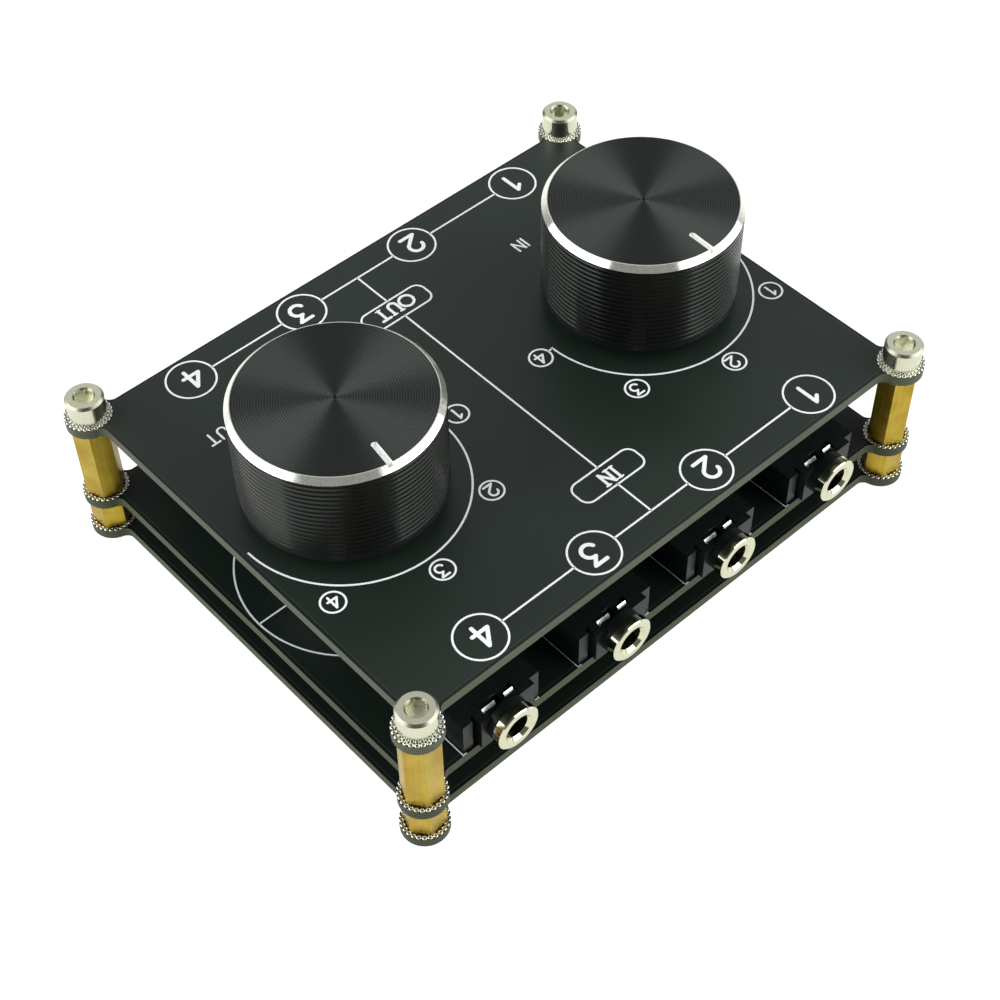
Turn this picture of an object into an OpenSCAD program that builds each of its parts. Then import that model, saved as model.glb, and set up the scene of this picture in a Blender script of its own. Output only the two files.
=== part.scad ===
// Passive audio switch box: three stacked circuit boards held apart by brass
// pillars, with four input jacks on one long side, four output jacks on the
// other, and two rotary selectors under turned aluminium knobs.
// Millimetres. +X runs along the numbers 1 to 4, +Y is the input side, +Z is up.
// The origin is the middle of the surface that the box rests on.

/* [Boards] */
// Width of each board between its straight edges
board_w = 87.8; // [85:0.2:100]
// Depth of each board between its straight edges
board_d = 68; // [62:0.2:80]
// Thickness of each board
board_t = 1.6; // [1.2:0.1:2.4]
// Radius of the round ear at each corner
ear_r = 3.3; // [3:0.1:5]
// How far a corner screw stands outside the board's straight end
ear_out_x = 0.1; // [0:0.1:1]
// How far a corner screw stands outside the board's straight side
ear_out_y = 0.2; // [0:0.1:1]
// Radius of the hollow curve between an ear and a straight edge
ear_fillet_r = 1.4; // [0.6:0.1:2.5]

/* [Pillars and screws] */
// Height of the upper pillars, between the middle board and the top panel
upper_gap = 13; // [12:0.5:20]
// Height of the lower pillars, between the bottom board and the middle board
lower_gap = 5; // [4.5:0.5:12]
// Distance across the flats of a pillar
pillar_af = 5; // [4.5:0.1:5.5]
// Diameter of the screw thread
thread_d = 3; // [2.5:0.1:3]
// Gap round a thread inside a threaded hole, on the radius
thread_gap = 0.03; // [0.02:0.01:0.08]
// Diameter of the screw holes through the boards
screw_hole_d = 3.2; // [3.1:0.1:3.6]
// Diameter of a cap screw's head
cap_head_d = 5.4; // [5:0.1:6]
// Height of a cap screw's head
cap_head_h = 3.5; // [2.5:0.1:4]
// Distance across the flats of a cap screw's hexagon socket
cap_socket_af = 2.5; // [2:0.1:3]
// Depth of a cap screw's hexagon socket
cap_socket_depth = 1.5; // [1:0.1:1.8]
// Length of a cap screw under its head
cap_screw_l = 6; // [4:0.5:6]
// Diameter of a bottom screw's thin head
low_head_d = 5; // [4.4:0.1:5.6]
// Height of a bottom screw's thin head
low_head_h = 0.8; // [0.6:0.1:1.2]
// Length of a bottom screw under its head
low_screw_l = 4; // [3:0.5:4]
// Length of the threaded stud on top of a lower pillar
stud_l = 5.4; // [4:0.2:5.6]

/* [Selectors] */
// Distance between the two selector shafts
selector_pitch = 54; // [50:0.5:56]
// Diameter of a selector's can
can_d = 22; // [21:0.2:23]
// Thickness of the can's side wall
can_wall = 1.8; // [1.7:0.1:2]
// Thickness of the can's top
can_top_t = 2; // [1.6:0.1:2.4]
// Thickness of the insulating base under the can
base_t = 2; // [1.6:0.1:2.4]
// Height of the feet under the base
foot_h = 0.5; // [0.4:0.1:0.8]
// Diameter of the threaded bushing
bushing_d = 9; // [8.6:0.1:9.4]
// Height of the bushing above the can
bushing_h = 5; // [4.6:0.1:5.2]
// Clearance round the bushing in the top panel, on the radius
bushing_gap = 0.15; // [0.1:0.05:0.3]
// Outer diameter of the washer on the top panel
washer_d = 13; // [12:0.5:14]
// Thickness of the washer
washer_t = 0.5; // [0.4:0.1:0.8]
// Distance across the flats of the panel nut
nut_af = 12; // [11:0.5:13]
// Thickness of the panel nut
nut_t = 2; // [1.8:0.1:2.2]
// Diameter of the shaft
shaft_d = 6; // [5.6:0.1:6.2]
// Diameter of the shaft's lower pivot
pivot_d = 3; // [2.6:0.1:3.4]
// Running gap round the shaft and the pivot, on the radius
running_gap = 0.04; // [0.02:0.01:0.08]
// Radius of the ring of fixed contacts
contact_ring_r = 7.2; // [6.8:0.1:7.5]
// Diameter of a fixed contact
contact_d = 1.6; // [1.2:0.1:1.8]
// Radius of the two curved common contacts
common_ring_r = 3.8; // [3.7:0.1:4]
// Diameter of a contact's pin
contact_pin_d = 0.9; // [0.7:0.1:0.9]
// Diameter of the detent ball
ball_d = 2.4; // [2:0.1:2.6]
// Depth of a detent notch in the can's wall
notch_depth = 0.25; // [0.15:0.05:0.4]

/* [Knobs] */
// Outer diameter of a knob
knob_d = 27.8; // [24:0.2:30]
// Height of a knob
knob_h = 15.6; // [14:0.2:18]
// Gap between the top panel and a knob
knob_gap = 2; // [1.8:0.1:2.6]
// Diameter of the recess over the panel nut
nut_recess_d = 17; // [16.5:0.5:19]
// Width of the bright bevel round the top, seen from above
bevel_w = 0.7; // [0.4:0.1:1.2]
// Height of the bright bevel
bevel_h = 0.8; // [0.4:0.1:1.4]
// Distance between the turned grooves in the side
groove_pitch = 0.8; // [0.7:0.1:1.4]
// Depth of a turned groove
groove_depth = 0.12; // [0.06:0.02:0.2]
// Width of a turned groove at the surface
groove_w = 0.4; // [0.2:0.05:0.5]
// Height of the plain band below the grooves
plain_band = 1.2; // [0.8:0.1:3]
// Length of the milled pointer line
pointer_l = 4.8; // [3:0.2:7]
// Width of the milled pointer line
pointer_w = 0.9; // [0.6:0.1:1.4]
// Depth of the milled pointer line
pointer_depth = 0.35; // [0.2:0.05:0.6]
// Diameter of the grub screw
grub_d = 3; // [2.5:0.1:3.4]
// Length of the grub screw
grub_l = 5; // [4:0.5:7]
// Height of the grub screw above the knob's lower edge
grub_h = 6; // [5.6:0.2:8]
// Angle by which the input knob sits off its true direction
in_knob_skew = -2; // [-15:1:15]
// Angle by which the output knob sits off its true direction
out_knob_skew = -9; // [-15:1:15]

/* [Jacks] */
// Distance between neighbouring jacks
jack_pitch = 20; // [18:0.5:20]
// How far the row of jacks stands off the middle of its side
jack_row_shift = 0.5; // [0:0.1:1]
// Width of a jack's body
jack_w = 12.8; // [12.4:0.1:13.2]
// How far a jack's body sits off the plug's axis, to the side away from the groove
jack_offset = 0.2; // [0:0.1:0.4]
// Length of a jack's body
jack_l = 14; // [13.5:0.5:16]
// Height of a jack's body
jack_h = 5.5; // [5.4:0.1:6.5]
// How far a jack's body stays behind the board's edge
jack_setback = 0.3; // [0:0.1:0.6]
// Width of the front block that carries the nose
front_block_w = 9; // [8.6:0.1:9.4]
// How far the front block sits off the plug's axis, to the same side as the body
front_block_offset = 0.5; // [0.3:0.1:0.7]
// How far the front block stands proud of the body
front_block_proud = 1; // [0.8:0.1:1.2]
// Width of the upright groove beside the front block
side_groove_w = 0.6; // [0.4:0.1:0.9]
// Height of the plug's axis above the middle board
plug_axis_h = 3.2; // [3.1:0.1:3.4]
// Radius of the plug hole
plug_r = 1.8; // [1.75:0.05:1.85]
// Depth of the plug hole from the nose
plug_depth = 14; // [13.5:0.5:15]
// Diameter of the black collar behind the nose
collar_d = 6.4; // [6.2:0.1:6.6]
// How far the black collar reaches from the front block
collar_l = 1.3; // [1:0.1:2.2]
// Diameter of the metal nose
nose_d = 6.7; // [6.4:0.1:7]
// Length of the metal nose in front of the collar
nose_l = 1.3; // [1:0.1:2]
// Width of the chamfer round the mouth of the nose
nose_chamfer = 0.45; // [0.2:0.05:0.6]
// Width of the window in the top of a jack
window_w = 5.6; // [5.4:0.1:5.9]
// Length of the window in the top of a jack
window_l = 1.6; // [1.5:0.1:2.4]
// Thickness of the contact springs
spring_t = 0.3; // [0.2:0.05:0.35]
// Width of the tip and ring springs
spring_w = 2; // [1.6:0.1:2]
// Gap between a spring and the plug hole
spring_gap = 0.1; // [0.05:0.05:0.2]
// Width of a spring's pin
jack_pin_w = 0.8; // [0.6:0.1:0.8]

/* [Hidden] */
$fn = 96;
// Curves that would only just meet run into each other by this much
join = 0.02;

// Levels, from the ground up
bottom_board_z = low_head_h;
lower_pillar_z = bottom_board_z + board_t;
middle_board_z = lower_pillar_z + lower_gap;
deck_z = middle_board_z + board_t;
top_panel_z = deck_z + upper_gap;
panel_top_z = top_panel_z + board_t;

// Corners and shafts
screw_x = board_w / 2 + ear_out_x;
screw_y = board_d / 2 + ear_out_y;
shaft_x = selector_pitch / 2;
screw_bore_d = thread_d + 2 * thread_gap;
// A pillar's hexagon is turned as far as its screw happened to leave it
upper_turns = [5, 32, 51, 20];
lower_turns = [9, 50, 35, 12];

// The four positions of a selector, and how far it can turn from where it rests
positions = 4;
step_angle = 45;
travel = (positions - 1) * step_angle;
function lowest_turn(side) = side == "out" ? -step_angle : -2 * step_angle;
function middle_turn(side) = lowest_turn(side) + travel / 2;

// Heights inside a selector, from the middle board up
base_top = foot_h + base_t;
can_top = upper_gap;
can_ceiling = can_top - can_top_t;
contact_proud = 0.5;
contact_gap = 0.06;
wiper_z = base_top + contact_proud + contact_gap;
wiper_t = 0.2;
wiper_rise = 0.6;
carrier_z = wiper_z + wiper_t + wiper_rise;
stop_z = carrier_z + 0.3;
stop_t = 1.1;
drum_z = stop_z + stop_t + 0.2;
detent_z = drum_z + 0.5 + ball_d / 2;
drum_top = detent_z + ball_d / 2 + 0.5;
end_play = 0.1;
shoulder_top = can_ceiling - end_play;
shoulder_t = 0.7;

// Sizes across a selector
can_inner_r = can_d / 2 - can_wall;
stop_lug_r = can_inner_r - 1.2;
stop_tab_r = can_inner_r - 0.15;
stop_tab_angle = 18;
stop_clear_angle = 0.6;
carrier_r = stop_lug_r - 0.3;
drum_r = can_inner_r - 0.9;
hub_r = 5;
shoulder_r = 4.2;
ball_x = can_inner_r - 0.05 - ball_d / 2;
ball_bore_x = 4.2;
ball_bore_r = ball_d / 2 + 0.05;
coil_outer_r = ball_d / 2 - 0.3;
coil_inner_r = coil_outer_r - 0.35;
drive_flat_x = shaft_d / 2 - 0.8;
wiper_w = 1.8;
common_w = 1;
rivet_d = 1;
rivet_head_d = 1.7;
rivet_head_h = 0.3;
rivet_r = can_d / 2 - can_wall / 2;
contact_pin_gap = 0.15;
pin_below = board_t + 0.9;

// Heights of a knob and its shaft, from the middle board up
knob_bottom = upper_gap + board_t + knob_gap;
nut_top = upper_gap + board_t + washer_t + nut_t;
bushing_top = can_top + bushing_h;
recess_depth = max(nut_top, bushing_top) + 0.5 - knob_bottom;
shaft_engage = 10;
shaft_top = knob_bottom + shaft_engage;
knob_bore_r = shaft_d / 2 + 0.02;

// Turned grooves, counted down from the bevel
groove_top = knob_h - bevel_h - 0.2 - groove_w / 2;
groove_count = floor((groove_top - groove_w / 2 - plain_band) / groove_pitch);
// The grub screw's hole is centred on the land nearest to its height
grub_z = groove_top - (floor((groove_top - grub_h) / groove_pitch) + 0.5) * groove_pitch;

// Jack fittings, in a jack's own frame
jack_front_y = board_d / 2 - jack_setback;
nose_back_y = front_block_proud + collar_l;
nose_front_y = nose_back_y + nose_l;
spring_x = plug_r + spring_gap;
slot_gap = 0.15;
tip_spring_back = -11.6;
tip_spring_front = -7.6;
ring_spring_back = -6.8;
ring_spring_front = -3.8;
spring_foot = 1.9;
liner_r = plug_r + 0.35;
earth_t = 0.35;
earth_front = 0.15;
earth_back = earth_front - earth_t;
earth_outer_x = 2.95;
earth_top = plug_axis_h + 1.8;
earth_pin_x = 2.6;
earth_pin_back = -1.6;
earth_pin_w = 0.6;
window_front = 0.2;
window_floor = plug_axis_h + 1.7;
leaf_w = 0.56;
leaf_t = 0.12;
leaf_tilt = 41;
leaf_front_y = -0.22;
leaf_outer_x = 2.6;
jack_hole_r = 0.6;

board_colour = [0.08, 0.09, 0.09];
brass_colour = [0.78, 0.6, 0.2];
nickel_colour = [0.8, 0.78, 0.72];
steel_colour = [0.7, 0.7, 0.72];
plastic_colour = [0.06, 0.06, 0.07];
knob_colour = [0.12, 0.12, 0.13];
zinc_colour = [0.62, 0.63, 0.65];
base_colour = [0.35, 0.2, 0.12];

// Where things stand

module at_corners() {
    for (i = [0:3]) {
        $corner = i;
        translate([i % 2 == 0 ? screw_x : -screw_x, i < 2 ? screw_y : -screw_y, 0])
            children();
    }
}

// The right-hand selector serves the outputs and the left-hand one the inputs
module at_selector(side) {
    translate([side == "out" ? shaft_x : -shaft_x, 0, deck_z])
        children();
}

module at_knob(side) {
    at_selector(side)
        translate([0, 0, knob_bottom])
            rotate(side == "out" ? out_knob_skew : in_knob_skew)
                children();
}

// A jack's own frame: X across, Y out of its mouth, Z up from the middle board
module at_jack(side, n) {
    row_x = (n - (positions + 1) / 2) * jack_pitch;
    rotate(side == "in" ? 0 : 180)
        translate([(side == "in" ? row_x : -row_x) + jack_row_shift, jack_front_y, deck_z])
            children();
}

// Shapes used more than once

module ring(outer_r, inner_r, h) {
    difference() {
        cylinder(r = outer_r, h = h);
        translate([0, 0, -1])
            cylinder(r = inner_r, h = h + 2);
    }
}

module sector(r, from, to) {
    intersection() {
        circle(r);
        polygon(concat([[0, 0]], [for (k = [0:4]) let (a = from + (to - from) * k / 4)
            2 * r * [cos(a), sin(a)]]));
    }
}

module ring_sector(outer_r, inner_r, from, to, h) {
    linear_extrude(h)
        difference() {
            sector(outer_r, from, to);
            circle(inner_r);
        }
}

module hexagon(af, h) {
    cylinder(d = af / cos(30), h = h, $fn = 6);
}

// A box between two values on each axis
module span(x, y, z) {
    translate([x[0], y[0], z[0]])
        cube([x[1] - x[0], y[1] - y[0], z[1] - z[0]]);
}

module both_sides() {
    for (m = [0, 1])
        mirror([m, 0, 0])
            children();
}

// Boards

// The hollow curve between an ear and a straight edge, beside the ear's centre
module ear_blend(out) {
    rise = ear_fillet_r - out - join;
    reach = sqrt(pow(ear_r + ear_fillet_r - join, 2) - pow(rise, 2));
    difference() {
        linear_extrude(board_t)
            polygon([[0, 0], [0, -out - 0.5], [-reach, -out - 0.5], [-reach, rise]]);
        translate([-reach, rise, -1])
            cylinder(r = ear_fillet_r, h = board_t + 2);
    }
}

module board(z) {
    translate([0, 0, z])
        difference() {
            union() {
                span([-board_w / 2, board_w / 2], [-board_d / 2, board_d / 2], [0, board_t]);
                for (mx = [0, 1], my = [0, 1])
                    mirror([mx, 0, 0])
                        mirror([0, my, 0])
                            translate([screw_x, screw_y, 0]) {
                                cylinder(r = ear_r, h = board_t);
                                ear_blend(ear_out_y);
                                mirror([1, -1, 0])
                                    ear_blend(ear_out_x);
                            }
            }
            at_corners()
                translate([0, 0, -1])
                    cylinder(d = screw_hole_d, h = board_t + 2);
        }
}

module top_panel() {
    color(board_colour)
        difference() {
            board(top_panel_z);
            for (side = ["in", "out"])
                at_selector(side)
                    translate([0, 0, upper_gap - 1])
                        cylinder(r = bushing_d / 2 + bushing_gap, h = board_t + 2);
        }
}

module middle_board() {
    color(board_colour)
        difference() {
            board(middle_board_z);
            for (side = ["in", "out"]) {
                at_selector(side)
                    at_contact_pins(side)
                        board_hole(contact_pin_d / 2 + contact_pin_gap);
                for (n = [1:positions])
                    at_jack(side, n)
                        at_jack_pins()
                            board_hole(jack_hole_r);
            }
        }
}

module board_hole(r) {
    translate([0, 0, -board_t - 1])
        cylinder(r = r, h = board_t + 2, $fn = 32);
}

module bottom_board() {
    color(board_colour)
        board(bottom_board_z);
}

// Pillars and screws

// A hexagon bar whose corners are turned off at both ends
module pillar(h) {
    corner_r = pillar_af / 2 / cos(30) + join;
    face_r = pillar_af / 2 - 0.06;
    edge = (corner_r - face_r) * tan(30);
    intersection() {
        hexagon(pillar_af, h);
        rotate_extrude()
            polygon([[0, 0], [face_r, 0], [corner_r, edge], [corner_r, h - edge], [face_r, h],
                     [0, h]]);
    }
}

module upper_pillars() {
    color(brass_colour)
        at_corners()
            translate([0, 0, deck_z])
                difference() {
                    rotate(upper_turns[$corner])
                        pillar(upper_gap);
                    translate([0, 0, -1])
                        cylinder(d = screw_bore_d, h = upper_gap + 2);
                }
}

module lower_pillars() {
    thread_depth = low_screw_l - board_t + 0.4;
    color(brass_colour)
        at_corners()
            translate([0, 0, lower_pillar_z])
                difference() {
                    union() {
                        rotate(lower_turns[$corner])
                            pillar(lower_gap);
                        cylinder(d = thread_d, h = lower_gap + stud_l);
                    }
                    translate([0, 0, -1])
                        cylinder(d = screw_bore_d, h = thread_depth + 1);
                }
}

module cap_screw() {
    edge = 0.35;
    lead = 0.3;
    r = cap_head_d / 2;
    socket_r = cap_socket_af / 2 / cos(30);
    difference() {
        union() {
            rotate_extrude()
                polygon([[0, 0], [r, 0], [r, cap_head_h - edge], [r - edge, cap_head_h],
                         [0, cap_head_h]]);
            translate([0, 0, -cap_screw_l])
                cylinder(d = thread_d, h = cap_screw_l + 1);
        }
        translate([0, 0, cap_head_h - cap_socket_depth])
            hexagon(cap_socket_af, cap_socket_depth + 1);
        translate([0, 0, cap_head_h - lead])
            cylinder(r1 = socket_r - 0.15, r2 = socket_r + lead, h = 2 * lead);
    }
}

module cap_screws() {
    color(nickel_colour)
        at_corners()
            translate([0, 0, panel_top_z])
                rotate(upper_turns[$corner])
                    cap_screw();
}

module bottom_screws() {
    socket_af = 2;
    socket_depth = 1.4;
    color(nickel_colour)
        at_corners()
            difference() {
                union() {
                    cylinder(d = low_head_d, h = low_head_h);
                    cylinder(d = thread_d, h = low_head_h + low_screw_l);
                }
                translate([0, 0, -1])
                    hexagon(socket_af, socket_depth + 1);
            }
}

// Selector switch, fixed parts

module at_fixed_contacts() {
    for (k = [0:7])
        rotate(k * step_angle)
            translate([contact_ring_r, 0, 0])
                children();
}

module at_common_pins(side) {
    for (pole = [90, 270])
        rotate(pole + middle_turn(side))
            translate([common_ring_r, 0, 0])
                children();
}

module at_contact_pins(side) {
    at_fixed_contacts()
        children();
    at_common_pins(side)
        children();
}

module at_rivets() {
    for (a = [0, 180])
        rotate(a + step_angle / 2)
            translate([rivet_r, 0, 0])
                children();
}

module rivet_hole() {
    cylinder(d = rivet_d + 0.06, h = can_top + 1, $fn = 24);
}

module can(side) {
    color(zinc_colour)
        at_selector(side)
            difference() {
                union() {
                    difference() {
                        translate([0, 0, base_top])
                            cylinder(d = can_d, h = can_top - base_top);
                        translate([0, 0, base_top - 1])
                            cylinder(r = can_inner_r, h = can_ceiling - base_top + 1);
                        detent_notches();
                    }
                    stop_lug(side);
                    translate([0, 0, can_ceiling + 0.5])
                        cylinder(d = bushing_d, h = can_top_t - 0.5 + bushing_h);
                }
                translate([0, 0, can_ceiling - 1])
                    cylinder(r = shaft_d / 2 + running_gap, h = can_top_t + bushing_h + 2);
                at_rivets()
                    rivet_hole();
            }
}

// Notches all round the wall, one to each step
module detent_notches() {
    for (k = [0:7])
        rotate(k * step_angle)
            translate([can_inner_r + notch_depth - ball_d / 2, 0, detent_z - ball_d / 2 - 0.1])
                cylinder(d = ball_d, h = ball_d + 0.2);
}

// The lug fills the part of the circle that the rotor's tab can't reach
module stop_lug(side) {
    half = stop_tab_angle / 2 + stop_clear_angle;
    low = lowest_turn(side);
    translate([0, 0, stop_z])
        ring_sector(can_inner_r + 0.2, stop_lug_r, low + travel + half, low - half + 360, stop_t);
}

module base(side) {
    foot_d = 2;
    color(base_colour)
        at_selector(side)
            difference() {
                union() {
                    translate([0, 0, foot_h])
                        cylinder(d = can_d, h = base_t);
                    for (a = [0:90:270])
                        rotate(a)
                            translate([can_d / 2 - 0.4 - foot_d / 2, 0, 0])
                                cylinder(d = foot_d, h = foot_h + 0.5, $fn = 32);
                }
                translate([0, 0, -1])
                    cylinder(r = pivot_d / 2 + running_gap, h = base_top + 2);
                translate([0, 0, -1])
                    at_contact_pins(side)
                        cylinder(r = contact_pin_d / 2 + 0.03, h = base_top + 2, $fn = 32);
                translate([0, 0, -1])
                    at_rivets()
                        rivet_hole();
            }
}

module contacts(side) {
    half = travel / 2 + asin(wiper_w / 2 / common_ring_r);
    color(brass_colour)
        at_selector(side) {
            at_fixed_contacts()
                translate([0, 0, base_top])
                    cylinder(d = contact_d, h = contact_proud, $fn = 32);
            for (pole = [90, 270])
                rotate(pole + middle_turn(side))
                    translate([0, 0, base_top])
                        ring_sector(common_ring_r + common_w / 2, common_ring_r - common_w / 2,
                                    -half, half, contact_proud);
            at_contact_pins(side)
                translate([0, 0, -pin_below])
                    cylinder(d = contact_pin_d, h = pin_below + base_top + 0.2, $fn = 32);
        }
}

module rivets(side) {
    color(steel_colour)
        at_selector(side)
            at_rivets()
                translate([0, 0, foot_h - rivet_head_h]) {
                    cylinder(d = rivet_head_d, h = rivet_head_h, $fn = 24);
                    cylinder(d = rivet_d, h = can_top - 0.1 - foot_h + rivet_head_h, $fn = 24);
                }
}

module washer(side) {
    color(nickel_colour)
        at_selector(side)
            translate([0, 0, upper_gap + board_t])
                ring(washer_d / 2, bushing_d / 2 + 0.1, washer_t);
}

module nut(side) {
    color(nickel_colour)
        at_selector(side)
            translate([0, 0, upper_gap + board_t + washer_t])
                difference() {
                    rotate(15)
                        hexagon(nut_af, nut_t);
                    translate([0, 0, -1])
                        cylinder(r = bushing_d / 2 + thread_gap, h = nut_t + 2);
                }
}

// Selector switch, turning parts

// The part of a round that its drive flat takes away
module beyond_flat(z) {
    span([drive_flat_x, shaft_d], [-shaft_d, shaft_d], z);
}

module shaft(side) {
    color(steel_colour)
        at_selector(side)
            difference() {
                union() {
                    translate([0, 0, foot_h + 0.1])
                        cylinder(d = pivot_d, h = carrier_z - foot_h);
                    translate([0, 0, carrier_z])
                        cylinder(d = shaft_d, h = shaft_top - carrier_z);
                    translate([0, 0, shoulder_top - shoulder_t])
                        cylinder(r = shoulder_r, h = shoulder_t);
                }
                beyond_flat([carrier_z - 1, shoulder_top - shoulder_t]);
                // Screwdriver slot in the upper end
                span([-shaft_d, shaft_d], [-0.4, 0.4], [shaft_top - 0.8, shaft_top + 1]);
            }
}

module rotor(side) {
    rotor_top = shoulder_top - shoulder_t;
    color(plastic_colour)
        at_selector(side)
            difference() {
                union() {
                    translate([0, 0, carrier_z])
                        cylinder(r = carrier_r, h = drum_z - carrier_z + 0.1);
                    translate([0, 0, drum_z])
                        cylinder(r = drum_r, h = drum_top - drum_z);
                    translate([0, 0, drum_top - 0.1])
                        cylinder(r = hub_r, h = rotor_top - drum_top + 0.1);
                    translate([0, 0, stop_z])
                        ring_sector(stop_tab_r, hub_r, -stop_tab_angle / 2, stop_tab_angle / 2,
                                    stop_t);
                }
                difference() {
                    translate([0, 0, carrier_z - 1])
                        cylinder(r = shaft_d / 2 + 0.02, h = rotor_top - carrier_z + 2);
                    beyond_flat([carrier_z - 2, rotor_top + 2]);
                }
                // Radial bore for the detent spring and ball
                translate([-ball_bore_x, 0, detent_z])
                    rotate([0, -90, 0])
                        cylinder(r = ball_bore_r, h = drum_r);
            }
}

// Two bridging springs, each joining a common contact to one of the ring
module wipers(side) {
    inner = common_ring_r - wiper_w / 2;
    outer = contact_ring_r + wiper_w / 2;
    mid = (inner + outer) / 2;
    z = wiper_z;
    color(brass_colour)
        at_selector(side)
            for (pole = [90, 270])
                rotate(pole)
                    translate([0, wiper_w / 2, 0])
                        rotate([90, 0, 0])
                            linear_extrude(wiper_w)
                                polygon([[inner, z], [inner + 1, z], [mid - 0.8, z + wiper_rise],
                                         [mid + 0.8, z + wiper_rise], [outer - 1, z], [outer, z],
                                         [outer, z + wiper_t], [outer - 0.8, z + wiper_t],
                                         [mid + 1, carrier_z], [mid - 1, carrier_z],
                                         [inner + 0.8, z + wiper_t], [inner, z + wiper_t]]);
}

module detent_ball(side) {
    color(steel_colour)
        at_selector(side)
            translate([-ball_x, 0, detent_z])
                sphere(d = ball_d);
}

// The coil behind the ball, drawn as a plain tube
module detent_spring(side) {
    seat = ball_x - sqrt(pow(ball_d / 2, 2) - pow(coil_inner_r, 2)) - 0.02;
    color(steel_colour)
        at_selector(side)
            translate([-ball_bore_x, 0, detent_z])
                rotate([0, -90, 0])
                    ring(coil_outer_r, coil_inner_r, seat - ball_bore_x);
}

// Knobs

module knob_profile() {
    r = knob_d / 2;
    recess_r = nut_recess_d / 2;
    bore_top = shaft_engage + 0.4;
    grooves = [for (k = [groove_count:-1:0]) let (z = groove_top - k * groove_pitch) each
        [[r, z - groove_w / 2], [r - groove_depth, z], [r, z + groove_w / 2]]];
    polygon(concat([[knob_bore_r, recess_depth], [recess_r, recess_depth], [recess_r, 0],
                    [r - 0.3, 0], [r, 0.3]],
                   grooves,
                   [[r, knob_h - bevel_h], [r - bevel_w, knob_h], [0.3, knob_h],
                    [0, knob_h - 0.15], [0, bore_top], [knob_bore_r, bore_top]]));
}

module pointer_line() {
    r = knob_d / 2;
    inner = r - pointer_l + pointer_w / 2;
    translate([0, inner, knob_h - pointer_depth])
        cylinder(d = pointer_w, h = pointer_depth + 1, $fn = 32);
    half = pointer_w / 2 - join;
    span([-half, half], [inner, r + 1], [knob_h - pointer_depth, knob_h + 1]);
}

module knob(side) {
    color(knob_colour)
        at_knob(side)
            difference() {
                rotate_extrude($fn = 180)
                    knob_profile();
                pointer_line();
                // Tapped hole for the grub screw, opposite the pointer
                translate([0, 0, grub_z])
                    rotate([90, 0, 0])
                        cylinder(d = grub_d + 2 * thread_gap, h = knob_d, $fn = 48);
            }
}

module grub_screw(side) {
    color(steel_colour)
        at_knob(side)
            translate([0, -shaft_d / 2, grub_z])
                rotate([90, 0, 0])
                    difference() {
                        cylinder(d = grub_d, h = grub_l, $fn = 48);
                        translate([0, 0, grub_l - 1.5])
                            hexagon(grub_d / 2, 2);
                    }
}

// Jacks

module jack_body(side, n) {
    body = [-jack_w / 2, jack_w / 2] - [jack_offset, jack_offset];
    block = [-front_block_w / 2, front_block_w / 2] - [front_block_offset, front_block_offset];
    color(plastic_colour)
        at_jack(side, n)
            difference() {
                union() {
                    span(body, [-jack_l, 0], [0, jack_h]);
                    span(block, [-1, front_block_proud], [0, jack_h]);
                    along_plug(front_block_proud - 0.1, nose_back_y)
                        cylinder(d = collar_d, h = collar_l + 0.1);
                }
                along_plug(nose_front_y - plug_depth, nose_back_y)
                    cylinder(r = plug_r, h = plug_depth);
                along_plug(earth_front - 0.05, nose_back_y)
                    cylinder(r = liner_r + 0.03, h = collar_l + 2);
                // Window in the top, just behind the nose
                span([-window_w / 2, window_w / 2], [window_front - window_l, window_front],
                     [window_floor, jack_h + 1]);
                span([block[1], block[1] + side_groove_w], [-1, 1], [-1, jack_h + 1]);
                earth_slots();
                spring_slots(spring_x, tip_spring_back, tip_spring_front);
                mirror([1, 0, 0])
                    spring_slots(spring_x, ring_spring_back, ring_spring_front);
            }
}

// Turns a cylinder to lie along the plug's axis from a given place
module along_plug(from_y, to_y) {
    translate([0, from_y, plug_axis_h])
        rotate([-90, 0, 0])
            children();
}

// Room for a side spring, open to the plug hole, with its way down for the pin
module spring_slots(x, back, front) {
    half = spring_w / 2 + slot_gap;
    span([plug_r * 0.6, x + spring_t + slot_gap], [back - slot_gap, front + slot_gap],
         [plug_axis_h - half, plug_axis_h + half]);
    span([x - slot_gap, x + spring_foot + slot_gap], [back - slot_gap, back + jack_pin_w + slot_gap],
         [-1, plug_axis_h + half]);
}

module earth_slots() {
    outer = earth_outer_x + slot_gap;
    both_sides() {
        span([liner_r, outer], [earth_back - slot_gap, window_front], [-1, earth_top + slot_gap]);
        span([earth_pin_x - slot_gap, outer], [earth_pin_back - slot_gap, window_front], [-1, 1.75]);
    }
}

module jack_nose(side, n) {
    r = nose_d / 2;
    edge = 0.15;
    color(nickel_colour)
        at_jack(side, n)
            along_plug(nose_back_y, nose_front_y)
                rotate_extrude()
                    polygon([[plug_r, earth_front - nose_back_y], [liner_r, earth_front - nose_back_y],
                             [liner_r, 0], [r, 0], [r, nose_l - edge], [r - edge, nose_l],
                             [plug_r + nose_chamfer, nose_l], [plug_r, nose_l - nose_chamfer]]);
}

// A blade beside the plug hole, folded outwards and down to its pin
module side_spring(back, front) {
    z = plug_axis_h - spring_w / 2;
    x = spring_x + spring_foot;
    span([spring_x, spring_x + spring_t], [back, front], [z, z + spring_w]);
    span([spring_x, x], [back, back + spring_t], [z, z + spring_w]);
    span([x - jack_pin_w, x], [back, back + spring_t], [-pin_below, z + 1]);
    span([x - jack_pin_w, x], [back, back + jack_pin_w], [-pin_below, 0.5]);
}

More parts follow.
